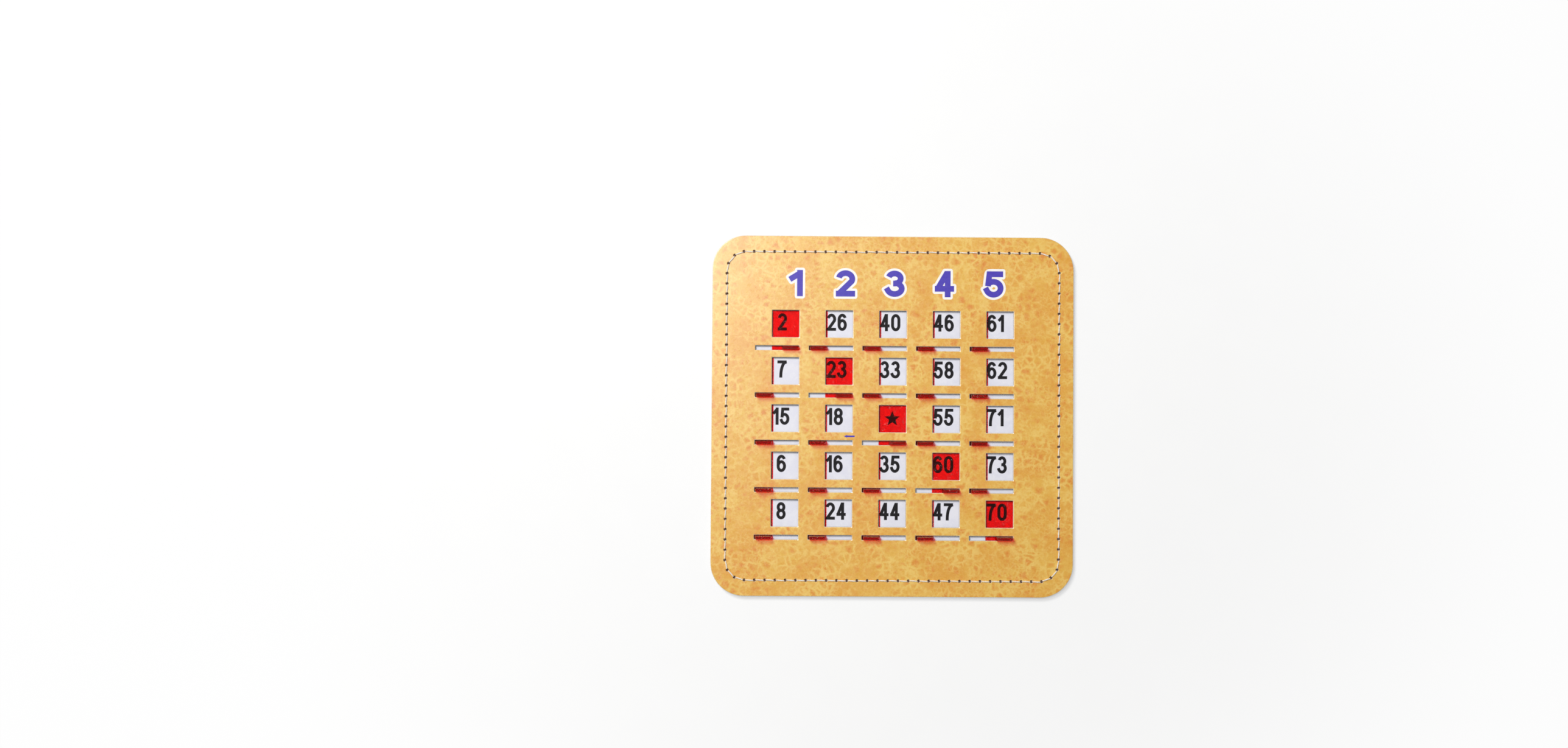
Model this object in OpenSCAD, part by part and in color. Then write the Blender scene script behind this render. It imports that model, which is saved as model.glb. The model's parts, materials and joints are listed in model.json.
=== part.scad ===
// Bingo card with sliding shutters: a stitched stack of board plies, with a see-through shutter behind
// each window that a finger tab pushes across. The card lies on its back: X runs along a row of windows,
// Y towards the head of the card and Z out of its face. The origin is the middle of the back.

/* [Windows] */
// Number of rows of windows
rows = 5; // [2:1:6]
// Number of windows in a row
columns = 5; // [2:1:6]
// Width of a window
window_w = 15.4; // [12:0.1:20]
// Height of a window
window_h = 15.4; // [12:0.1:20]

/* [Slots] */
// Board left between a window and the slot under it
bridge_h = 4.8; // [3:0.1:8]
// Height of a slot
slot_h = 2.5; // [1.8:0.1:4]

/* [Shutters] */
// Thickness of a shutter's plate
plate_t = 0.6; // [0.4:0.05:1.2]
// Strip of plate past each side of a window when its shutter is across
side_lap = 0.1; // [0:0.05:1]
// Strip of plate above the window
top_lap = 0.7; // [0.4:0.1:2]
// Strip of plate below the slot
bottom_lap = 0.8; // [0.4:0.1:2]
// Strip of plate that still shows in a window when its shutter is back
peek = 0.9; // [0:0.1:2]
// Radius of the plate's corners
plate_corner_r = 1; // [0.2:0.1:3]
// Width of the finger tab
tab_w = 9.6; // [6:0.1:12]
// Height of the finger tab above the card's face
tab_h = 5.5; // [3:0.1:9]
// Radius of the tab's two top corners
tab_corner_r = 1.6; // [0.8:0.1:2.5]
// Radius along the tab's top edges
tab_edge_r = 0.5; // [0.2:0.05:0.8]
// Lean of the tab's four sides towards its top, in degrees
tab_draft = 2; // [0:0.5:3]
// Distance of the tab from the plate's leading edge
tab_inset = 0.4; // [0:0.05:1]

/* [Running clearances] */
// Gap above and below a plate in its channel
plate_lift = 0.15; // [0.1:0.05:0.4]
// Gap between a plate and the rails of its channel
rail_gap = 0.2; // [0.1:0.05:0.6]
// Gap between a tab and the long sides of its slot
tab_gap = 0.2; // [0.1:0.05:0.4]
// Gap between a tab and the end of its slot at the end of the travel
stop_gap = 0.4; // [0.1:0.05:0.8]
// Least gap between two plates of one row
plate_gap = 0.35; // [0.2:0.05:1]

/* [Plies] */
// Thickness of the covering sheet on the face
skin_t = 0.3; // [0.15:0.05:0.6]
// Thickness of the board under the covering sheet
front_board_t = 0.95; // [0.5:0.05:2]
// Thickness of the printed number sheet
number_card_t = 0.35; // [0.2:0.05:0.8]
// Thickness of the back board
back_board_t = 1.7; // [1.2:0.1:3]

/* [Card outline] */
// Board beside the outer windows
side_margin = 34.2; // [28:0.1:45]
// Board above the top windows, which holds the column heads
head_margin = 42.5; // [30:0.1:60]
// Board below the bottom windows
foot_margin = 39.5; // [32:0.1:60]
// Rail between two channels
rail_w = 2.3; // [1.5:0.1:6]
// Radius of the card's corners
card_corner_r = 19; // [10:0.5:24]

/* [Seam] */
// Distance of the seam from the card's sides
seam_side_inset = 8.3; // [7:0.1:12]
// Distance of the seam from the card's head and foot
seam_end_inset = 9.1; // [7:0.1:12]
// Radius of the seam's corners
seam_corner_r = 11; // [6:0.5:16]
// Length of one stitch, before it is evened out round the card
stitch_length = 5.8; // [4:0.1:9]
// Diameter of the thread
thread_d = 0.7; // [0.4:0.05:1]
// Gap between the thread and what it lies on, and between the two legs in a needle hole
thread_gap = 0.06; // [0.03:0.01:0.15]
// Gap between the thread and the wall of a needle hole
hole_gap = 0.09; // [0.06:0.01:0.3]

/* [Hidden] */
$fn = 48;
// How far a cut runs past the faces that it opens
overrun = 1;

// Which shutters are pushed across, by row and column
function is_across(row, column) = row == column;
function shutter_name(row, column) = str("shutter_row", row + 1, "_col", column + 1);

shutter_names = [
    for (row = [0 : rows - 1], column = [0 : columns - 1]) shutter_name(row, column)
];

// Shutter: the plate covers the window and carries the tab in the slot below it
tab_t = slot_h - 2 * tab_gap;
plate_w = window_w + 2 * side_lap;
plate_h = top_lap + window_h + bridge_h + slot_h + bottom_lap;
travel = window_w + side_lap - peek;

// Grid: neighbours in a row keep apart when one is across and the next one is back
column_pitch = plate_w + travel + plate_gap;
channel_h = plate_h + 2 * rail_gap;
row_pitch = channel_h + rail_w;
card_w = (columns - 1) * column_pitch + window_w + 2 * side_margin;
card_h = (rows - 1) * row_pitch + window_h + head_margin + foot_margin;

// Heights of the plies, from the back up
channel_t = plate_t + 2 * plate_lift;
number_card_z = back_board_t;
channel_z = number_card_z + number_card_t;
front_board_z = channel_z + channel_t;
skin_z = front_board_z + front_board_t;
face_z = skin_z + skin_t;
plate_z = channel_z + plate_lift;
tab_top_z = face_z + tab_h;

// Tab: its roundings take at most a third of the width that the draft leaves at its top
tab_rise = tab_top_z - plate_z;
tab_lean = tab_rise * tan(tab_draft);
corner_r = min(tab_corner_r, (tab_w - 2 * tab_lean) / 3);
edge_r = min(tab_edge_r, (tab_t - 2 * tab_lean) / 3);

// Left edge and lower edge of each window
function window_x(column) = -card_w / 2 + side_margin + column * column_pitch;
function window_y(row) = card_h / 2 - head_margin - window_h - row * row_pitch;
function slot_y(row) = window_y(row) - bridge_h - slot_h;
function plate_y(row) = slot_y(row) - bottom_lap;

// Left edge of a plate that is across its window, and of its tab
function plate_x(column) = window_x(column) - side_lap;
tab_offset = plate_w - tab_inset - tab_w;
slot_w = tab_w + travel + 2 * stop_gap;
function slot_x(column) = plate_x(column) + tab_offset - travel - stop_gap;

// A channel runs from the first plate pushed back to the last plate pushed across
channel_x = plate_x(0) - travel - plate_gap;
channel_w = plate_x(columns - 1) + plate_w + plate_gap - channel_x;

// Seam: a round-cornered loop, walked from the start of its foot side, against the clock
seam_w = card_w - 2 * seam_side_inset;
seam_h = card_h - 2 * seam_end_inset;
seam_run_x = seam_w - 2 * seam_corner_r;
seam_run_y = seam_h - 2 * seam_corner_r;
seam_turn = PI * seam_corner_r / 2;
seam_length = 2 * (seam_run_x + seam_run_y) + 4 * seam_turn;
stitches = round(seam_length / stitch_length);
stitch_pitch = seam_length / stitches;

function turned(p, angle) = [
    p.x * cos(angle) - p.y * sin(angle),
    p.x * sin(angle) + p.y * cos(angle)
];

// A point on one side of the seam and the corner after it, as if the side ran along +X below the origin
function side_point(s, run, depth) =
    let (angle = (s - run) / seam_corner_r * 180 / PI)
    s <= run
        ? [s - run / 2, -depth]
        : [run / 2 + seam_corner_r * sin(angle), seam_corner_r * (1 - cos(angle)) - depth];

side_x = seam_run_x + seam_turn;
side_y = seam_run_y + seam_turn;

function seam_point(s) =
    s < side_x ? side_point(s, seam_run_x, seam_h / 2)
    : s < side_x + side_y ? turned(side_point(s - side_x, seam_run_y, seam_w / 2), 90)
    : s < 2 * side_x + side_y ? turned(side_point(s - side_x - side_y, seam_run_x, seam_h / 2), 180)
    : turned(side_point(s - 2 * side_x - side_y, seam_run_y, seam_w / 2), 270);

function stitch_point(i) = seam_point((i % stitches) * stitch_pitch);

// Thread: the legs of two neighbouring stitches share a hole, and the two threads meet at the lock
thread_r = thread_d / 2;
leg_offset = thread_r + thread_gap / 2;
needle_hole_d = 2 * (leg_offset + thread_r + hole_gap);
thread_bend_r = thread_r + hole_gap;
lock_z = face_z / 2;
needle_run_z = face_z + thread_gap + thread_r;
bobbin_run_z = thread_gap + thread_r;

// Furrow in the back: as deep as the thread, and wide enough for the chords that the stitches cut
chord_sag = seam_corner_r * (1 - cos(stitch_pitch / seam_corner_r * 90 / PI));
furrow_w = thread_d + 2 * (chord_sag + hole_gap);
furrow_h = thread_d + 2 * thread_gap;

skin_colour = [0.93, 0.76, 0.46];
board_colour = [0.55, 0.53, 0.50];
sheet_colour = [0.93, 0.93, 0.96];
back_colour = [0.62, 0.60, 0.57];
shutter_colour = [0.86, 0.07, 0.06];
thread_colour = [0.94, 0.92, 0.88];

// Shared outlines

module rounded_rectangle(size, r) {
    square([size.x - 2 * r, size.y], center = true);
    square([size.x, size.y - 2 * r], center = true);
    for (side = [-1, 1], end = [-1, 1])
        translate([side * (size.x / 2 - r), end * (size.y / 2 - r)]) circle(r);
}

module needle_holes() {
    for (i = [0 : stitches - 1])
        translate(stitch_point(i)) circle(d = needle_hole_d);
}

module card_outline() {
    difference() {
        rounded_rectangle([card_w, card_h], card_corner_r);
        needle_holes();
    }
}

module windows_and_slots() {
    for (row = [0 : rows - 1], column = [0 : columns - 1]) {
        translate([window_x(column), window_y(row)]) square([window_w, window_h]);
        translate([slot_x(column), slot_y(row)]) square([slot_w, slot_h]);
    }
}

module face_outline() {
    difference() {
        card_outline();
        windows_and_slots();
    }
}

// Plies

module front_skin() {
    color(skin_colour)
        translate([0, 0, skin_z]) linear_extrude(skin_t) face_outline();
}

module front_board() {
    color(board_colour)
        translate([0, 0, front_board_z]) linear_extrude(front_board_t) face_outline();
}

module channel_board() {
    color(board_colour)
        translate([0, 0, channel_z]) linear_extrude(channel_t)
            difference() {
                card_outline();
                for (row = [0 : rows - 1])
                    translate([channel_x, plate_y(row) - rail_gap]) square([channel_w, channel_h]);
            }
}

module number_card() {
    color(sheet_colour)
        translate([0, 0, number_card_z]) linear_extrude(number_card_t) card_outline();
}

module seam_furrow() {
    difference() {
        rounded_rectangle([seam_w + furrow_w, seam_h + furrow_w], seam_corner_r + furrow_w / 2);
        rounded_rectangle([seam_w - furrow_w, seam_h - furrow_w], seam_corner_r - furrow_w / 2);
    }
}

module back_board() {
    color(back_colour)
        difference() {
            linear_extrude(back_board_t) card_outline();
            translate([0, 0, -overrun]) linear_extrude(furrow_h + overrun) seam_furrow();
        }
}

// Seam

// A quarter bend of the thread, in the plane of its stitch, from the given angle
module thread_bend(x, from) {
    translate([x, 0, -thread_bend_r]) rotate([90, 0, 0])
        rotate_extrude(angle = 90, start = from) translate([thread_bend_r, 0]) circle(thread_r);
}

// One stitch along +X from the hole at the origin: a run, two bends and two legs that point down
module stitch(span, leg) {
    bend_x = leg_offset + thread_bend_r;
    leg_h = leg - thread_bend_r;
    translate([leg_offset, 0, -leg]) cylinder(h = leg_h, r = thread_r);
    thread_bend(bend_x, 90);
    translate([bend_x, 0, 0]) rotate([0, 90, 0]) cylinder(h = span - 2 * bend_x, r = thread_r);
    thread_bend(span - bend_x, 0);
    translate([span - leg_offset, 0, -leg]) cylinder(h = leg_h, r = thread_r);
}

// A closed loop of stitches at the given height; the legs point down, or up where way is -1
module seam(run_z, leg, way) {
    for (i = [0 : stitches - 1]) {
        from = stitch_point(i);
        to = stitch_point(i + 1);
        translate([from.x, from.y, run_z])
            rotate([0, 0, atan2(to.y - from.y, to.x - from.x)])
                mirror([0, 0, way < 0 ? 1 : 0]) stitch(norm(to - from), leg);
    }
}

module needle_thread() {
    color(thread_colour) seam(needle_run_z, needle_run_z - lock_z, 1);
}

module bobbin_thread() {
    color(thread_colour) seam(bobbin_run_z, lock_z - bobbin_run_z, -1);
}

// Shutters

// One side of the tab, from the middle of its foot: drafted sides that run into a rounded top
module drafted_side(width, r) {
    centre = [width / 2 - (tab_rise - r) * tan(tab_draft) - r / cos(tab_draft), tab_rise - r];
    right = [[width / 2, 0], centre + r * [cos(tab_draft), sin(tab_draft)], [centre.x, tab_rise]];
    left = [for (point = right) [-point.x, point.y]];
    polygon(concat(right, [left[2], left[1], left[0]]));
    for (side = [-1, 1])
        translate([side * centre.x, centre.y]) circle(r);
}

module tab() {
    intersection() {
        rotate([90, 0, 0]) translate([0, 0, -tab_t / 2]) linear_extrude(tab_t) drafted_side(tab_w, corner_r);
        rotate([90, 0, 90]) translate([0, 0, -tab_w / 2]) linear_extrude(tab_w) drafted_side(tab_t, edge_r);
    }
}

module shutter(row, column) {
    back = is_across(row, column) ? 0 : travel;
    color(shutter_colour)
        translate([plate_x(column) - back, plate_y(row), plate_z]) {
            translate([plate_w / 2, plate_h / 2]) linear_extrude(plate_t)
                rounded_rectangle([plate_w, plate_h], plate_corner_r);
            translate([tab_offset + tab_w / 2, bottom_lap + slot_h / 2, 0]) tab();
        }
}

front_skin();
front_board();
channel_board();
number_card();
back_board();
needle_thread();
bobbin_thread();
for (row = [0 : rows - 1], column = [0 : columns - 1])
    shutter(row, column);
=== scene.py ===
"""Looks of a stitched bingo card with sliding shutters: covering sheet, print, thread, plastic and light."""
import itertools
import json
import math
import random

import bmesh
import bpy
from mathutils import Matrix, Vector
from mathutils.geometry import delaunay_2d_cdt


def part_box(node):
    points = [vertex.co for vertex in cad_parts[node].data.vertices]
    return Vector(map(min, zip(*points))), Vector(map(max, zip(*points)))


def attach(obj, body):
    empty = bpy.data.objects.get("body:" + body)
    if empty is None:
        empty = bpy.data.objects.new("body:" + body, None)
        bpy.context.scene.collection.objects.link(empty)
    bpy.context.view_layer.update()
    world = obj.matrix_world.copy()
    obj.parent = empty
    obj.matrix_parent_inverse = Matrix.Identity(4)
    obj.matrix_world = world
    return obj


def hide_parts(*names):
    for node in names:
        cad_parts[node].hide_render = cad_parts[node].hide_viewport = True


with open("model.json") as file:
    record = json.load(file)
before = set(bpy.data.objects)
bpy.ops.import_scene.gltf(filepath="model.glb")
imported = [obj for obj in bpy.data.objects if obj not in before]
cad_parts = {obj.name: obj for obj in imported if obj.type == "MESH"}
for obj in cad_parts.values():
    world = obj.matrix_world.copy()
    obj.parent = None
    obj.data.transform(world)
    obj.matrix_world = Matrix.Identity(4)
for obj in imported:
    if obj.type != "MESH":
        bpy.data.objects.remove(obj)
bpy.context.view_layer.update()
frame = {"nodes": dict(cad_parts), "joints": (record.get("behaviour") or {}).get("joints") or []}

nodes = frame["nodes"]
chance = random.Random(5)
MM = 0.001

# Sizes that the dressed pieces share with the card's solids
ROWS = COLUMNS = 5
WINDOW = 15.4 * MM
BRIDGE_H = 4.8 * MM
SLOT_H = 2.5 * MM
SIDE_LAP = 0.1 * MM
TOP_LAP = 0.7 * MM
TAB_W = 9.6 * MM
TAB_INSET = 0.4 * MM
STOP_GAP = 0.4 * MM
CARD_CORNER_R = 19 * MM
SEAM_SIDE_INSET = 8.3 * MM
SEAM_END_INSET = 9.1 * MM
SEAM_CORNER_R = 11 * MM
STITCH_LENGTH = 5.8 * MM
NEEDLE_HOLE_R = 0.82 * MM

# The covering sheet's edge, where the cutting die has crushed it. A step of the rim is a share of its width,
# counted from the cut, and a share of its depth.
RIM_W = 0.5 * MM
HOLE_RIM_W = 0.2 * MM
RIM_DEPTH = 0.26 * MM
RIM_POINT_GAP = 0.9 * MM
RIM_WOBBLE = 0.05 * MM
RIM_STEPS = [(1.0, 0.0), (0.62, 0.1), (0.25, 0.42), (0.0, 1.0)]
CARD_CORNER_STEPS = 16
HOLE_SIDES = 20

# A plug of crushed board closes each needle hole below the covering sheet; its dark colour is painted shade
# for the hole's depth. Its steps are a share of the hole's radius and a depth below the sheet, from the
# plug's foot over its rim down into the dimple.
PIT_STEPS = [(0.97, 0.85 * MM), (0.97, 0.02 * MM), (0.86, 0.3 * MM), (0.5, 0.62 * MM)]

# Thread of two plies laid round each other
FACE_PLY_R = 0.27 * MM
BACK_PLY_R = 0.21 * MM
PLY_OFFSET_SHARE = 0.6
THREAD_LAY = 1.7 * MM
THREAD_STRAY = 0.12 * MM
STITCH_SLANT = 0.2 * MM
LEG_SHARE = 0.5
LEG_OFFSET = 0.6 * MM
BEND_R = 0.45 * MM
ROUTE_STEP = 0.24 * MM
PLY_SIDES = 6

# Print
PRINT_LIFT = 0.012 * MM
DIGIT_H = 9.8 * MM
DIGIT_W = 5.3 * MM
DIGIT_ONE_W = 3.4 * MM
DIGIT_STROKE = 1.7 * MM
DIGIT_GAP = 0.85 * MM
DIGIT_BASE = 3.9 * MM
PAIR_INDENT = 0.6 * MM
SINGLE_INDENT = 3.1 * MM
STAR_R = 4.6 * MM
STAR_WAIST_SHARE = 0.42
HEAD_H = 15 * MM
HEAD_W = 11 * MM
HEAD_ONE_W = 7.8 * MM
HEAD_STROKE = 3.3 * MM
HEAD_OUTLINE = 1.3 * MM
HEAD_PITCH = 28.2 * MM
HEAD_SHIFT = 1 * MM
HEAD_BASE_BELOW_TOP = 34.5 * MM
ARROW_L = 6.1 * MM
ARROW_HEAD_L = 2.1 * MM
ARROW_HEAD_H = 1.9 * MM
ARROW_SHAFT_H = 0.95 * MM
ARROW_NOTCH = 0.4 * MM
ARROW_TIP_LEFT_OF_MIDDLE = 27.6 * MM
ARC_STEPS = 28
DISC_SIDES = 20
SHARP_TURN = math.radians(30)
CLOSED_SHARE = 0.01
END_PROBE = 0.1
END_SLACK = 0.05
NUMBERS = [
    [2, 26, 40, 46, 61],
    [7, 23, 33, 58, 62],
    [15, 18, None, 55, 71],
    [6, 16, 35, 60, 73],
    [8, 24, 44, 47, 70],
]

# Flat areas are filled with triangles, of which only those inside an outline are kept. The filling is done in
# millimetres, and corners nearer to each other than the given distance become one.
INSIDE_ONLY = 1
SHEET_MERGE = 1e-5
FILM_MERGE = 1e-4

# Camera: above the card and to the left of it, aimed so that the card lands where the photograph has it
CAMERA_AT = Vector((-66.1, 1.8, 896)) * MM
CAMERA_AIM = Vector((-61.9, 23.6, 4.2)) * MM
CAMERA_ROLL = math.radians(0.4)
CAMERA_LENS = 36
SENSOR_W = 36
CLIP_START = 10 * MM

# Light: two soft lamps above the card's upper left, a faint sky, and a floor that glows more further out
KEY_AT = Vector((-0.52, 0.58, 1.15))
KEY_SIZE = 0.36
KEY_POWER = 11.6
KEY_COLOUR = (1.0, 0.985, 0.96)
SHEEN_AT = Vector((-0.52, 0.36, 1.8))
SHEEN_SIZE = 0.3
SHEEN_POWER = 12
SKY_COLOUR = (0.96, 0.98, 1.0, 1)
SKY_STRENGTH = 0.2
FLOOR_REACH = 4.0
FLOOR_GAP = 0.05 * MM
GLOW_FROM, GLOW_TO = 0.12, 0.42
GLOW_LEAST, GLOW_MOST = 0.5, 0.93

# Shutter plastic: what its depth lets through, and what its shadow lets through
PLASTIC_IOR = 1.46
PLASTIC_COLOUR = (0.974, 0.02, 0.03, 1)
PLASTIC_DENSITY = 3800
PLASTIC_SHADOW = (0.78, 0.35, 0.35, 1)

# Most of a noise lies between these values
NOISE_LOW, NOISE_HIGH = 0.3, 0.7

# Places that come from the frame
card_low, card_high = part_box("front_skin")
card_w, card_h = card_high.x - card_low.x, card_high.y - card_low.y
skin_z, face_z = card_low.z, card_high.z
sheet_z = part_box("number_card")[1].z
lock_z = face_z / 2
joint_of = {joint["child"]: joint for joint in frame["joints"]}


def shutter_name(row, column):
    return f"shutter_row{row + 1}_col{column + 1}"


def plate_across(row, column):
    """The lowest and highest corner of a shutter's solid when it is pushed across its window."""
    name = shutter_name(row, column)
    low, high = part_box(name)
    move = Vector((max(joint_of[name]["range_m"]), 0, 0))
    return low + move, high + move


def window_box(row, column):
    """The lower left and upper right corner of a window."""
    low, high = plate_across(row, column)
    corner = Vector((low.x + SIDE_LAP, high.y - TOP_LAP - WINDOW))
    return corner, corner + Vector((WINDOW, WINDOW))


def slot_box(row, column):
    """The lower left and upper right corner of a slot."""
    joint = joint_of[shutter_name(row, column)]
    travel = max(joint["range_m"]) - min(joint["range_m"])
    right = plate_across(row, column)[1].x - TAB_INSET + STOP_GAP
    top = window_box(row, column)[0].y - BRIDGE_H
    return Vector((right - TAB_W - travel - 2 * STOP_GAP, top - SLOT_H)), Vector((right, top))


def every_window():
    return [(row, column) for row in range(ROWS) for column in range(COLUMNS)]


# Seam: the same loop as in the solids, walked against the clock from the start of its foot side

def seam_points():
    run_x = card_w - 2 * SEAM_SIDE_INSET - 2 * SEAM_CORNER_R
    run_y = card_h - 2 * SEAM_END_INSET - 2 * SEAM_CORNER_R
    turn = math.pi * SEAM_CORNER_R / 2
    length = 2 * (run_x + run_y) + 4 * turn
    count = round(length / STITCH_LENGTH)
    sides = [(run_x, run_y / 2 + SEAM_CORNER_R), (run_y, run_x / 2 + SEAM_CORNER_R)] * 2
    points = []
    for i in range(count):
        s = i * length / count
        quarter = 0
        while s >= sides[quarter][0] + turn:
            s -= sides[quarter][0] + turn
            quarter += 1
        run, depth = sides[quarter]
        angle = max(s - run, 0) / SEAM_CORNER_R
        x = min(s, run) - run / 2 + SEAM_CORNER_R * math.sin(angle)
        y = SEAM_CORNER_R * (1 - math.cos(angle)) - depth
        points.append(Matrix.Rotation(quarter * math.pi / 2, 2) @ Vector((x, y)))
    return points


# Mesh helpers

def put(name, data):
    """Puts a mesh, a lamp or a camera into the scene."""
    made = bpy.data.objects.new(name, data)
    bpy.context.scene.collection.objects.link(made)
    return made


def ride_card(name, mesh, material):
    """A mesh as a piece that rides on the card."""
    mesh.materials.append(material)
    made = put(name, mesh)
    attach(made, "card")
    return made


def piece(name, vertices, faces, material, smooth=False):
    """A piece whose faces close round each of its parts, and are turned outwards."""
    mesh = bpy.data.meshes.new(name)
    mesh.from_pydata([tuple(v) for v in vertices], [], faces)
    built = bmesh.new()
    built.from_mesh(mesh)
    bmesh.ops.recalc_face_normals(built, faces=built.faces)
    built.to_mesh(mesh)
    built.free()
    if smooth:
        mesh.shade_smooth()
    return ride_card(name, mesh, material)


def runs(groups):
    """The places of each group's members in a list that joins the groups."""
    ends = itertools.accumulate(len(group) for group in groups)
    return [list(range(end - len(group), end)) for group, end in zip(groups, ends)]


def spoke(angle):
    return Vector((math.cos(angle), math.sin(angle)))


def rectangle_loop(low, high):
    """Points round a rectangular cut, each with the way into the board beside it."""
    corners = [low, Vector((high.x, low.y)), high, Vector((low.x, high.y))]
    ways = [Vector((0, -1)), Vector((1, 0)), Vector((0, 1)), Vector((-1, 0))]
    loop = []
    for i, start in enumerate(corners):
        end = corners[(i + 1) % 4]
        steps = max(1, round((end - start).length / RIM_POINT_GAP))
        loop.append((start, ways[i - 1] + ways[i]))
        loop += [(start.lerp(end, k / steps), ways[i]) for k in range(1, steps)]
    return loop


def hole_loop(centre, radius):
    """Points round a needle hole, each with the way into the board beside it."""
    ways = [spoke(2 * math.pi * i / HOLE_SIDES) for i in range(HOLE_SIDES)]
    return [(centre + radius * way, way) for way in ways]


def card_loop():
    """Points round the card's outline, each with the way into the board."""
    reach = Vector((card_w / 2 - CARD_CORNER_R, card_h / 2 - CARD_CORNER_R))
    loop = []
    for i, (x, y) in enumerate([(1, -1), (1, 1), (-1, 1), (-1, -1)]):
        centre = Vector((x * reach.x, y * reach.y))
        for k in range(CARD_CORNER_STEPS + 1):
            out = spoke((i - 1 + k / CARD_CORNER_STEPS) * math.pi / 2)
            loop.append((centre + CARD_CORNER_R * out, -out))
    return loop


def fill_between(built, rings):
    """Faces from the first ring of vertices, which runs round all the others, up to each of these."""
    corners = [vertex for ring in rings for vertex in ring]
    flat = [vertex.co.xy / MM for vertex in corners]
    filled = delaunay_2d_cdt(flat, [], runs(rings), INSIDE_ONLY, SHEET_MERGE)
    _, _, triangles, origins, _, owners = filled
    for triangle, owner in zip(triangles, owners):
        if owner == [0]:
            built.faces.new([corners[origins[i][0]] for i in triangle])


def covering_sheet(material):
    """The covering sheet: a flat top, and a crushed rim round its outline and each cut.

    The attribute rim says how crushed a point is.
    """
    loops = [(card_loop(), RIM_W)]
    loops += [(rectangle_loop(*window_box(row, column)), RIM_W) for row, column in every_window()]
    loops += [(rectangle_loop(*slot_box(row, column)), RIM_W) for row, column in every_window()]
    loops += [(hole_loop(point, NEEDLE_HOLE_R), HOLE_RIM_W) for point in seam_points()]
    built = bmesh.new()
    crushed = built.verts.layers.float.new("rim")
    tops, feet = [], []
    for loop, rim_w in loops:
        wobble = [chance.uniform(-RIM_WOBBLE, RIM_WOBBLE) for _ in loop]
        rings = []
        for width_share, depth_share in RIM_STEPS:
            ring = []
            for (point, way), stray in zip(loop, wobble):
                place = point + way * width_share * (rim_w + stray)
                vertex = built.verts.new((place.x, place.y, face_z - depth_share * RIM_DEPTH))
                vertex[crushed] = 1 - width_share
                ring.append(vertex)
            rings.append(ring)
        foot = [built.verts.new((point.x, point.y, skin_z)) for point, _ in loop]
        for vertex in foot:
            vertex[crushed] = 1
        rings.append(foot)
        tops.append(rings[0])
        feet.append(foot)
        for upper, lower in zip(rings, rings[1:]):
            for i in range(len(loop)):
                k = (i + 1) % len(loop)
                built.faces.new((upper[i], lower[i], lower[k], upper[k])).smooth = True
    fill_between(built, tops)
    fill_between(built, feet)
    bmesh.ops.recalc_face_normals(built, faces=built.faces)
    mesh = bpy.data.meshes.new("covering_sheet")
    built.to_mesh(mesh)
    built.free()
    made = ride_card("covering_sheet", mesh, material)
    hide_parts("front_skin")


def needle_pits(material):
    """The crushed board that closes each needle hole round its thread, dark with painted shade of the hole.
    """
    vertices, faces = [], []
    for point in seam_points():
        rings = []
        for share, depth in PIT_STEPS:
            loop = hole_loop(point, NEEDLE_HOLE_R * share)
            rings.append(range(len(vertices), len(vertices) + len(loop)))
            vertices += [(place.x, place.y, skin_z - depth) for place, _ in loop]
        for upper, lower in zip(rings, rings[1:]):
            for i in range(len(upper)):
                k = (i + 1) % len(upper)
                faces.append((upper[i], lower[i], lower[k], upper[k]))
        faces += [tuple(rings[0]), tuple(rings[-1])]
    piece("needle_pits", vertices, faces, material, smooth=True)


# Thread

def stitch_route(span, depth):
    """One stitch from the lock below its first hole to the lock below its second.

    A step is a distance from the first hole, a height, a share of the thread's full width, and the thread's
    length up to there.
    """
    leg, bend = LEG_OFFSET, BEND_R
    quarter = math.pi * bend / 2
    lengths = [depth - bend, quarter, span - 2 * (leg + bend), quarter, depth - bend]
    total = sum(lengths)
    steps = round(total / ROUTE_STEP)
    route = []
    for k in range(steps + 1):
        s = total * k / steps
        near = min(s, total - s)
        if near < lengths[0]:
            along, height, width = leg, near - depth, LEG_SHARE
        elif near < lengths[0] + quarter:
            angle = (near - lengths[0]) / bend
            along = leg + bend * (1 - math.cos(angle))
            height = bend * (math.sin(angle) - 1)
            width = LEG_SHARE + (1 - LEG_SHARE) * 0.5 * angle / (math.pi / 2)
        else:
            past = near - lengths[0] - quarter
            along, height = leg + bend + past, 0
            width = min(1, (1 + LEG_SHARE) / 2 + past / span * 2 * (1 - LEG_SHARE))
        route.append((along if s <= total / 2 else span - along, height, width, s))
    return route


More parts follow.
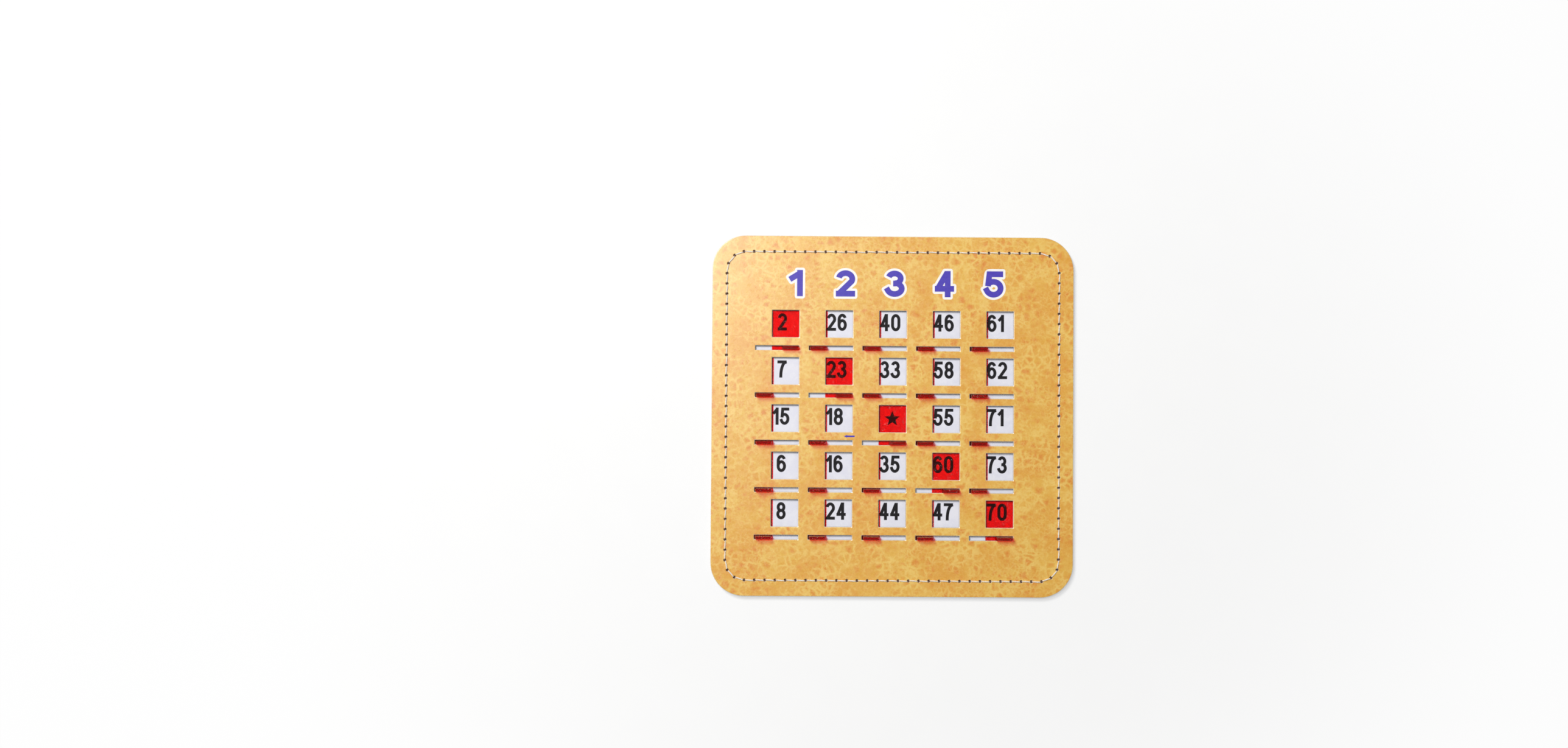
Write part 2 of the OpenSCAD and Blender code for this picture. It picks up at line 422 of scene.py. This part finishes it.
def seam_thread(name, node, surface_z, way, ply_r, material):
    """A closed run of stitches. way is 1 on the face, where the legs point down, and -1 on the back."""
    ply_offset = PLY_OFFSET_SHARE * ply_r
    run_z = surface_z + ply_r + ply_offset
    points = seam_points()
    vertices, faces = [], []
    for i, start in enumerate(points):
        end = points[(i + 1) % len(points)]
        ahead = (end - start).normalized()
        aside = Vector((-ahead.y, ahead.x))
        span = (end - start).length
        stray = chance.uniform(-THREAD_STRAY, THREAD_STRAY)
        twist = chance.uniform(0, 2 * math.pi)
        route = stitch_route(span, abs(run_z - lock_z))
        for ply in range(2):
            rings = []
            for k, (along, height, width, s) in enumerate(route):
                before, after = route[max(k - 1, 0)], route[min(k + 1, len(route) - 1)]
                tangent = Vector((after[0] - before[0], after[1] - before[1])).normalized()
                lift = Vector((-tangent.y, tangent.x))
                phase = twist + ply * math.pi + 2 * math.pi * s / THREAD_LAY
                bow = stray * math.sin(math.pi * along / span) + STITCH_SLANT * (1 - 2 * along / span)
                ring = []
                for side in range(PLY_SIDES):
                    turn = 2 * math.pi * side / PLY_SIDES
                    across = bow + width * (ply_offset * math.cos(phase) + ply_r * math.cos(turn))
                    raised = width * (ply_offset * math.sin(phase) + ply_r * math.sin(turn))
                    flat = start + ahead * (along + lift.x * raised) + aside * across
                    ring.append(len(vertices))
                    vertices.append((flat.x, flat.y, run_z + way * (height + lift.y * raised)))
                rings.append(ring)
            for one, two in zip(rings, rings[1:]):
                for side in range(PLY_SIDES):
                    other = (side + 1) % PLY_SIDES
                    faces.append((two[side], two[other], one[other], one[side]))
            faces += [tuple(rings[0]), tuple(rings[-1])]
    made = piece(name, vertices, faces, material, smooth=True)
    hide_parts(node)


# Print: figures drawn as strokes of one width along centre lines in a unit box

def arc(x, y, rx, ry, start, end):
    """Points along an ellipse about (x, y), between two angles in degrees."""
    angles = [math.radians(start + (end - start) * k / ARC_STEPS) for k in range(ARC_STEPS + 1)]
    return [Vector((x + rx * math.cos(a), y + ry * math.sin(a))) for a in angles]


def line(*points):
    return [Vector(point) for point in points]


FIGURES = {
    "0": [arc(0.5, 0.7, 0.5, 0.3, 0, 180) + arc(0.5, 0.3, 0.5, 0.3, 180, 360) + line((1, 0.7))],
    "1": [line((0.02, 0.75), (0.95, 0.97)), line((1, 1), (1, 0))],
    "2": [arc(0.5, 0.72, 0.5, 0.28, 168, -24) + line((0.06, 0.03)), line((0, 0), (1, 0))],
    "3": [
        arc(0.47, 0.755, 0.45, 0.245, 162, -90) + line((0.36, 0.51)),
        arc(0.47, 0.265, 0.53, 0.265, 90, -160),
    ],
    "4": [line((0.71, 1.07), (0.03, 0.3)), line((0.74, 1), (0.74, 0)), line((0, 0.27), (1, 0.27))],
    "5": [line((0.97, 1), (0.17, 1), (0.06, 0.41)), arc(0.47, 0.315, 0.53, 0.315, 138, -160)],
    "6": [arc(0.5, 0.31, 0.5, 0.31, 0, 360), line((0, 0.32), (0, 0.6)) + arc(0.5, 0.68, 0.5, 0.32, 180, 24)],
    "7": [line((0, 1), (1, 1)), arc(1.1, 0, 0.78, 0.97, 98, 180)],
    "8": [arc(0.5, 0.755, 0.45, 0.245, 0, 360), arc(0.5, 0.265, 0.5, 0.265, 0, 360)],
}
FIGURES["9"] = [[Vector((1, 1)) - point for point in path] for path in FIGURES["6"]]


def ribbon(path, half):
    """The two sides of a stroke along a path, with mitred corners."""
    closed = (path[0] - path[-1]).length < half * CLOSED_SHARE
    left, right = [], []
    for k, point in enumerate(path):
        before = path[k - 1] if k else (path[-2] if closed else None)
        after = path[k + 1] if k + 1 < len(path) else (path[1] if closed else None)
        ways = [(b - a).normalized() for a, b in ((before, point), (point, after)) if a and b]
        ahead = sum(ways, Vector((0, 0))).normalized()
        normal = Vector((-ahead.y, ahead.x))
        reach = half / normal.dot(Vector((-ways[0].y, ways[0].x)))
        left.append(point + normal * reach)
        right.append(point - normal * reach)
    return left, right


def stroke_shapes(path, half):
    """A stroke as a chain of four-sided shapes."""
    left, right = ribbon(path, half)
    return [[right[k], right[k + 1], left[k + 1], left[k]] for k in range(len(path) - 1)]


def disc_shape(centre, radius):
    """A disc, turned by half a side so that none of its corners falls on the side of a stroke."""
    return [centre + radius * spoke(2 * math.pi * (i + 0.5) / DISC_SIDES) for i in range(DISC_SIDES)]


def border_shapes(path, half, border):
    """Shapes that cover a stroke and a border all round it, with round corners."""
    shapes = []
    first = 0
    for k in range(1, len(path)):
        ways = [path[k] - path[k - 1], path[min(k + 1, len(path) - 1)] - path[k]]
        last = k == len(path) - 1
        if last or ways[0].angle(ways[1]) > SHARP_TURN:
            shapes += stroke_shapes(path[first:k + 1], half + border)
            shapes += [] if last else [disc_shape(path[k], half + border)]
            first = k
    left, right = ribbon(path, half)
    for end, beside in ((0, 1), (-1, -2)):
        reach = path[end] + (path[end] - path[beside]).normalized() * border
        shapes += stroke_shapes([path[end], reach], half)
        shapes += [disc_shape(corner, border) for corner in (left[end], right[end])]
    return shapes


class Marks:
    """Films of ink on a surface, gathered into one mesh."""

    def __init__(self, surface):
        self.surface = surface
        self.vertices = []
        self.faces = []

    def add(self, shapes):
        """Adds shapes that may overlap, as one flat area."""
        corners = [point / MM for shape in shapes for point in shape]
        filled = delaunay_2d_cdt(corners, [], runs(shapes), INSIDE_ONLY, FILM_MERGE)
        points, _, triangles, _, _, owners = filled
        inked = [triangle for triangle, owner in zip(triangles, owners) if owner]
        sides = {(t[i - 1], t[i]) for t in inked for i in range(3)}
        rim = [(a, b) for a, b in sorted(sides) if (b, a) not in sides]
        upper = len(self.vertices)
        lower = upper + len(points)
        for height in (self.surface + PRINT_LIFT, self.surface):
            self.vertices += [(p.x * MM, p.y * MM, height) for p in points]
        self.faces += [[upper + i for i in t] for t in inked]
        self.faces += [[lower + i for i in reversed(t)] for t in inked]
        self.faces += [[upper + b, upper + a, lower + a, lower + b] for a, b in rim]

    def piece(self, name, material):
        return piece(name, self.vertices, self.faces, material)


def figure_paths(figure, corner, width, height, stroke):
    """A figure's centre lines in a box of the given lower left corner and outer size.

    An end that meets the box head-on reaches its outside.
    """
    half = stroke / 2
    paths = []
    for unit_path in FIGURES[figure]:
        path = [
            corner + Vector((half + p.x * (width - stroke), half + p.y * (height - stroke)))
            for p in unit_path
        ]
        for end, beside in ((0, 1), (-1, -2)):
            ahead = unit_path[end] + (unit_path[end] - unit_path[beside]).normalized() * END_PROBE
            leaves = min(ahead) < -END_SLACK or max(ahead) > 1 + END_SLACK
            if leaves and max(unit_path[end]) <= 1:
                path[end] = path[end] + (path[end] - path[beside]).normalized() * half
        paths.append(path)
    return paths


def star(centre):
    """A plain five-pointed star."""
    points = []
    for k in range(10):
        angle = math.pi / 2 + k * math.pi / 5
        reach = STAR_R * (STAR_WAIST_SHARE if k % 2 else 1)
        points.append(centre + reach * spoke(angle))
    return points


def number_print(ink):
    """The figure in each window of the number sheet, and a star in the middle one."""
    marks = Marks(sheet_z)
    for row, column in every_window():
        low, high = window_box(row, column)
        number = NUMBERS[row][column]
        if number is None:
            marks.add([star((low + high) / 2)])
            continue
        text = str(number)
        corner = low + Vector((PAIR_INDENT if len(text) > 1 else SINGLE_INDENT, DIGIT_BASE))
        for figure in text:
            width = DIGIT_ONE_W if figure == "1" else DIGIT_W
            paths = figure_paths(figure, corner, width, DIGIT_H, DIGIT_STROKE)
            marks.add([shape for path in paths for shape in stroke_shapes(path, DIGIT_STROKE / 2)])
            corner = corner + Vector((width + DIGIT_GAP, 0))
    marks.piece("number_print", ink)


def head_print(ink, border_ink):
    """The column heads: plain figures with a pale border."""
    border = Marks(face_z)
    body = Marks(face_z + PRINT_LIFT)
    half = HEAD_STROKE / 2
    for column in range(COLUMNS):
        middle = HEAD_SHIFT + (column - (COLUMNS - 1) / 2) * HEAD_PITCH
        width = HEAD_W if column else HEAD_ONE_W
        corner = Vector((middle - width / 2, card_high.y - HEAD_BASE_BELOW_TOP))
        paths = figure_paths(str(column + 1), corner, width, HEAD_H, HEAD_STROKE)
        border.add([shape for path in paths for shape in border_shapes(path, half, HEAD_OUTLINE)])
        body.add([shape for path in paths for shape in stroke_shapes(path, half)])
    for made in (border.piece("head_border", border_ink), body.piece("head_figures", ink)):
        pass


def arrow_print(ink):
    """The arrow under the middle row, which shows the way that the tabs are pushed back."""
    marks = Marks(face_z)
    y = window_box(ROWS // 2, 0)[0].y - BRIDGE_H / 2
    tip = Vector((-ARROW_TIP_LEFT_OF_MIDDLE, y))
    along = (ARROW_HEAD_L, ARROW_HEAD_L - ARROW_NOTCH, ARROW_L)
    barb, neck, tail = (tip + Vector((x, 0)) for x in along)
    wing, shaft = Vector((0, ARROW_HEAD_H / 2)), Vector((0, ARROW_SHAFT_H / 2))
    marks.add([[tip, barb - wing, neck - shaft, tail - shaft, tail + shaft, neck + shaft, barb + wing]])
    marks.piece("arrow_print", ink)


# Materials

def shade(red, green, blue):
    """A colour as a screen shows it, from 0 to 255, as the linear value that shaders take."""
    levels = [level / 255 for level in (red, green, blue)]
    return (*[v / 12.92 if v <= 0.04045 else ((v + 0.055) / 1.055) ** 2.4 for v in levels], 1)


class Look:
    """A material under construction. Values may be numbers, colours or the outputs of other nodes."""

    def __init__(self, name):
        self.material = bpy.data.materials.new(name)
        self.material.use_nodes = True
        self.tree = self.material.node_tree
        self.surface = self.tree.nodes["Principled BSDF"]
        self.output = self.tree.nodes["Material Output"]
        self.place = self.add("ShaderNodeTexCoord").outputs["Object"]

    def wire(self, socket, value):
        if isinstance(value, bpy.types.NodeSocket):
            self.tree.links.new(value, socket)
        else:
            socket.default_value = value

    def add(self, kind, inputs=None, **settings):
        node = self.tree.nodes.new(kind)
        for name, value in settings.items():
            setattr(node, name, value)
        for name, value in (inputs or {}).items():
            self.wire(node.inputs[name], value)
        return node

    def set(self, **values):
        """Sets the surface's sockets, named in lower case with underscores."""
        sockets = {socket.name.lower().replace(" ", "_"): socket for socket in self.surface.inputs}
        for name, value in values.items():
            self.wire(sockets[name], value)

    def noise(self, scale, detail=3, roughness=0.5, place=None, colour=False):
        inputs = {"Vector": place or self.place, "Scale": scale, "Detail": detail, "Roughness": roughness}
        return self.add("ShaderNodeTexNoise", inputs).outputs["Color" if colour else "Fac"]

    def cells(self, scale, place=None, feature="F1"):
        inputs = {"Vector": place or self.place, "Scale": scale}
        return self.add("ShaderNodeTexVoronoi", inputs, feature=feature).outputs["Distance"]

    def stretched(self, x, y, z):
        inputs = {"Vector": self.place, "Scale": (x, y, z)}
        return self.add("ShaderNodeMapping", inputs).outputs["Vector"]

    def warped(self, scale, amount, place=None):
        """The place, pushed about by a soft noise."""
        middle = (0.5, 0.5, 0.5)
        noise = self.noise(scale, colour=True)
        push = self.add("ShaderNodeVectorMath", {0: noise, 1: middle}, operation="SUBTRACT")
        push = self.add("ShaderNodeVectorMath", {0: push.outputs[0], "Scale": amount}, operation="SCALE")
        return self.add("ShaderNodeVectorMath", {0: place or self.place, 1: push.outputs[0]}).outputs[0]

    def band(self, value, low, high, to_low=0.0, to_high=1.0):
        """The value, with low to high spread smoothly over to_low to to_high, and held beyond these."""
        inputs = {"Value": value, "From Min": low, "From Max": high, "To Min": to_low, "To Max": to_high}
        return self.add("ShaderNodeMapRange", inputs, interpolation_type="SMOOTHSTEP").outputs["Result"]

    def spread(self, noise, to_low=0.0, to_high=1.0):
        """A noise, spread over the range from to_low to to_high."""
        return self.band(noise, NOISE_LOW, NOISE_HIGH, to_low, to_high)

    def times(self, one, two):
        return self.add("ShaderNodeMath", {0: one, 1: two}, operation="MULTIPLY").outputs[0]

    def plus(self, one, two):
        return self.add("ShaderNodeMath", {0: one, 1: two}, operation="ADD", use_clamp=True).outputs[0]

    def minus(self, one, two):
        return self.add("ShaderNodeMath", {0: one, 1: two}, operation="SUBTRACT").outputs[0]

    def mix(self, share, one, two):
        node = self.add("ShaderNodeMix", data_type="RGBA")
        for socket, value in ((node.inputs[0], share), (node.inputs[6], one), (node.inputs[7], two)):
            self.wire(socket, value)
        return node.outputs[2]

    def mix_shaders(self, share, one, two):
        inputs = {"Fac": share, 1: one.outputs[0], 2: two.outputs[0]}
        return self.add("ShaderNodeMixShader", inputs).outputs[0]

    def bump(self, height, strength, distance, under=None):
        inputs = {"Height": height, "Strength": strength, "Distance": distance}
        if under:
            inputs["Normal"] = under
        return self.add("ShaderNodeBump", inputs).outputs["Normal"]


def leather_relief(look):
    """The covering sheet's pressed grain: small pebbles with finer wrinkles between them."""
    pebbles = look.cells(1500, look.warped(700, 0.7 * MM))
    wrinkles = look.noise(5200)
    coarse = look.bump(pebbles, 0.18, 0.05 * MM)
    return look.bump(wrinkles, 0.12, 0.03 * MM, coarse)


def leatherette():
    look = Look("leatherette_print")
    bent = look.warped(800, 0.9 * MM, look.warped(210, 3.5 * MM))
    clouds = look.band(look.noise(42, detail=4, roughness=0.55), 0.36, 0.64)
    edges = look.cells(215, bent, "DISTANCE_TO_EDGE")
    patches = look.band(look.noise(120, detail=4, roughness=0.6), 0.4, 0.62)
    hearts = look.times(look.band(edges, 0.05, 0.4), patches)
    network = look.band(edges, 0.0, 0.2, 1.0, 0.0)
    threads = look.band(look.cells(430, bent, "DISTANCE_TO_EDGE"), 0.0, 0.2, 1.0, 0.0)
    some, others = (look.band(look.noise(scale, detail=4, roughness=0.65), 0.4, 0.62) for scale in (80, 130))
    veins = look.plus(look.times(network, some), look.times(threads, look.times(others, 0.7)))
    flecks = look.noise(1300, roughness=0.6)
    colour = look.mix(clouds, shade(229, 163, 54), shade(233, 180, 70))
    colour = look.mix(look.times(hearts, 0.9), colour, shade(224, 130, 34))
    colour = look.mix(look.times(veins, 0.68), colour, shade(246, 210, 114))
    fleck_colour = look.mix(look.band(flecks, 0.36, 0.64), shade(206, 138, 40), shade(250, 211, 108))
    colour = look.mix(0.14, colour, fleck_colour)
    rim = look.add("ShaderNodeAttribute", attribute_name="rim").outputs["Fac"]
    torn = look.band(look.plus(rim, look.times(look.noise(900), 0.5)), 0.62, 0.95)
    paper = look.mix(look.noise(1800), shade(246, 238, 222), shade(222, 206, 178))
    look.set(base_color=look.mix(torn, colour, paper), normal=leather_relief(look))
    look.set(roughness=look.spread(look.noise(600), 0.27, 0.36), specular_ior_level=1.0, ior=1.56)
    return look.material


def printed_leather(name, colour, worn):
    """Ink on the covering sheet, which keeps the sheet's grain."""
    look = Look(name)
    patches = look.band(look.noise(420, detail=4, roughness=0.6), 0.3, 0.75)
    look.set(base_color=look.mix(patches, colour, worn), normal=leather_relief(look), specular_ior_level=0.45)
    look.set(roughness=look.spread(look.noise(900), 0.36, 0.5))
    return look.material


def pressed_board(name, dark, pale):
    """Grey board pressed from waste paper: fibres in layers along the sheet, with flecks."""
    look = Look(name)
    layers = look.noise(1, detail=5, roughness=0.65, place=look.stretched(420, 420, 4200))
    fibres = look.noise(1, detail=4, roughness=0.7, place=look.stretched(2600, 700, 2600))
    flecks = look.band(look.cells(620, look.warped(500, 2 * MM)), 0.06, 0.16, 1.0, 0.0)
    colour = look.mix(look.spread(layers), dark, pale)
    colour = look.mix(look.times(look.band(fibres, 0.45, 0.7), 0.45), colour, shade(206, 201, 192))
    colour = look.mix(look.times(flecks, 0.55), colour, shade(92, 86, 80))
    relief = look.bump(layers, 0.5, 0.12 * MM)
    look.set(base_color=colour, normal=look.bump(fibres, 0.35, 0.06 * MM, relief), specular_ior_level=0.2)
    look.set(roughness=look.spread(fibres, 0.82, 0.96))
    return look.material


def crushed_board():
    """Board fibres round the thread, painted dark brown as the shade down in the needle holes."""
    look = Look("crushed_board")
    fibres = look.noise(3200, detail=4, roughness=0.7)
    # The dark browns are painted shade for the hole's depth, not the board's own grey.
    look.set(base_color=look.mix(look.spread(fibres), shade(78, 52, 44), shade(124, 92, 76)))
    look.set(normal=look.bump(fibres, 0.6, 0.1 * MM), roughness=look.spread(fibres, 0.8, 0.95))
    look.set(specular_ior_level=0.2)
    return look.material


def number_paper():
    look = Look("number_sheet_paper")
    mottle = look.noise(260, detail=4, roughness=0.6)
    colour = look.mix(look.spread(mottle), shade(236, 236, 244), shade(226, 226, 238))
    look.set(base_color=colour, normal=look.bump(look.noise(1400), 0.06, 0.02 * MM))
    look.set(roughness=look.spread(mottle, 0.2, 0.3), specular_ior_level=0.5)
    return look.material


def number_ink():
    look = Look("number_ink")
    specks = look.band(look.noise(2600, roughness=0.6), 0.62, 0.72)
    colour = look.mix(look.times(specks, 0.35), shade(20, 18, 22), shade(140, 136, 142))
    look.set(base_color=colour, normal=look.bump(look.noise(1400), 0.08, 0.02 * MM))
    look.set(roughness=look.spread(look.noise(800), 0.45, 0.6), specular_ior_level=0.2)
    return look.material


def thread_fibre():
    look = Look("thread_cotton")
    fibres = look.noise(4200, detail=4, roughness=0.6)
    colour = look.mix(look.spread(fibres), shade(232, 224, 210), shade(252, 249, 242))
    look.set(base_color=colour, normal=look.bump(fibres, 0.4, 0.05 * MM), specular_ior_level=0.3)
    look.set(roughness=look.spread(fibres, 0.6, 0.8), sheen_weight=0.25)
    return look.material


def shutter_plastic():
    """Clear red plastic, deeper where it is thicker, with faint drawn streaks and dust."""
    look = Look("shutter_plastic")
    streaks = look.noise(1, roughness=0.6, place=look.stretched(1500, 90, 1500))
    dust = look.band(look.cells(1250, look.warped(900, 3 * MM)), 0.1, 0.2, 1.0, 0.0)
    dusty = look.times(dust, look.band(look.noise(230), 0.46, 0.58))
    tint = look.mix(look.band(streaks, 0.35, 0.7), shade(226, 192, 188), shade(222, 178, 172))
    look.set(base_color=look.mix(dusty, tint, shade(255, 236, 228)))
    look.set(normal=look.bump(streaks, 0.1, 0.03 * MM))
    look.set(roughness=look.spread(streaks, 0.05, 0.16), ior=PLASTIC_IOR)
    look.set(transmission_weight=look.minus(1.0, look.times(dusty, 0.75)))
    clear = look.add("ShaderNodeBsdfTransparent", {"Color": PLASTIC_SHADOW})
    shadow = look.add("ShaderNodeLightPath").outputs["Is Shadow Ray"]
    depth = look.add("ShaderNodeVolumeAbsorption", {"Color": PLASTIC_COLOUR, "Density": PLASTIC_DENSITY})
    look.wire(look.output.inputs["Surface"], look.mix_shaders(shadow, look.surface, clear))
    look.wire(look.output.inputs["Volume"], depth.outputs[0])
    return look.material


def studio_floor():
    """A white table that keeps the card's shadow."""
    look = Look("studio_floor")
    grain = look.noise(40)
    look.set(base_color=look.mix(grain, shade(246, 246, 246), shade(250, 250, 250)), roughness=0.9)
    look.set(specular_ior_level=0.1)
    white = look.add("ShaderNodeEmission", {"Color": (1, 1, 1, 1), "Strength": 1.0})
    rays = look.add("ShaderNodeLightPath").outputs
    mirrored = look.plus(rays["Is Glossy Ray"], rays["Is Transmission Ray"])
    seen = look.plus(rays["Is Camera Ray"], mirrored)
    away = look.add("ShaderNodeVectorMath", {0: look.place}, operation="LENGTH").outputs["Value"]
    glow = look.band(away, GLOW_FROM, GLOW_TO, GLOW_LEAST, GLOW_MOST)
    look.wire(look.output.inputs["Surface"], look.mix_shaders(look.times(seen, glow), look.surface, white))
    return look.material


# Stage

def look_at(eye, aim, roll=0.0):
    """The place of a lamp or camera at eye that looks at aim, with the card's head up."""
    ahead = (aim - eye).normalized()
    right = ahead.cross(Vector((-math.sin(roll), math.cos(roll), 0))).normalized()
    turn = Matrix((right, right.cross(ahead), -ahead)).transposed().to_4x4()
    return Matrix.Translation(eye) @ turn


def softbox(name, eye, aim, size, power, colour=(1, 1, 1)):
    lamp = bpy.data.lights.new(name, "AREA")
    lamp.size = size
    lamp.energy = power
    lamp.color = colour
    put(name, lamp).matrix_world = look_at(eye, aim)


def stage():
    mesh = bpy.data.meshes.new("floor")
    ways = ((-1, -1), (1, -1), (1, 1), (-1, 1))
    corners = [(x * FLOOR_REACH, y * FLOOR_REACH, -FLOOR_GAP) for x, y in ways]
    mesh.from_pydata(corners, [], [(0, 1, 2, 3)])
    mesh.materials.append(studio_floor())
    floor = put("floor", mesh)
    middle = Vector((0, 0, face_z))
    softbox("key_light", KEY_AT, middle, KEY_SIZE, KEY_POWER, KEY_COLOUR)
    softbox("sheen_light", SHEEN_AT, middle, SHEEN_SIZE, SHEEN_POWER)
    world = bpy.data.worlds.new("studio")
    world.use_nodes = True
    sky = world.node_tree.nodes["Background"].inputs
    sky["Color"].default_value = SKY_COLOUR
    sky["Strength"].default_value = SKY_STRENGTH
    bpy.context.scene.world = world


def camera():
    data = bpy.data.cameras.new("camera")
    data.lens = CAMERA_LENS
    data.sensor_width = SENSOR_W
    data.clip_start = CLIP_START
    made = put("camera", data)
    made.matrix_world = look_at(CAMERA_AT, CAMERA_AIM, CAMERA_ROLL)
    bpy.context.scene.camera = made


def dress(material, *names):
    """Gives CAD nodes their material."""
    for name in names:
        nodes[name].data.materials.clear()
        nodes[name].data.materials.append(material)


camera()
covering_sheet(leatherette())
thread = thread_fibre()
seam_thread("face_thread", "needle_thread", face_z, 1, FACE_PLY_R, thread)
seam_thread("back_thread", "bobbin_thread", 0, -1, BACK_PLY_R, thread)
needle_pits(crushed_board())
violet = printed_leather("violet_ink", shade(70, 55, 177), shade(78, 63, 181))
white = printed_leather("white_ink", shade(252, 250, 248), shade(244, 240, 234))
head_print(violet, white)
arrow_print(violet)
number_print(number_ink())
# The front and channel boards line the window walls, so their grey is darker than the back board's: painted
# shade.
dress(pressed_board("grey_board", shade(112, 108, 104), shade(150, 146, 140)), "front_board", "channel_board")
dress(pressed_board("back_grey_board", shade(140, 135, 128), shade(172, 167, 158)), "back_board")
dress(number_paper(), "number_card")
dress(shutter_plastic(), *[shutter_name(row, column) for row, column in every_window()])
stage()

bpy.context.scene.view_settings.view_transform = "Standard"
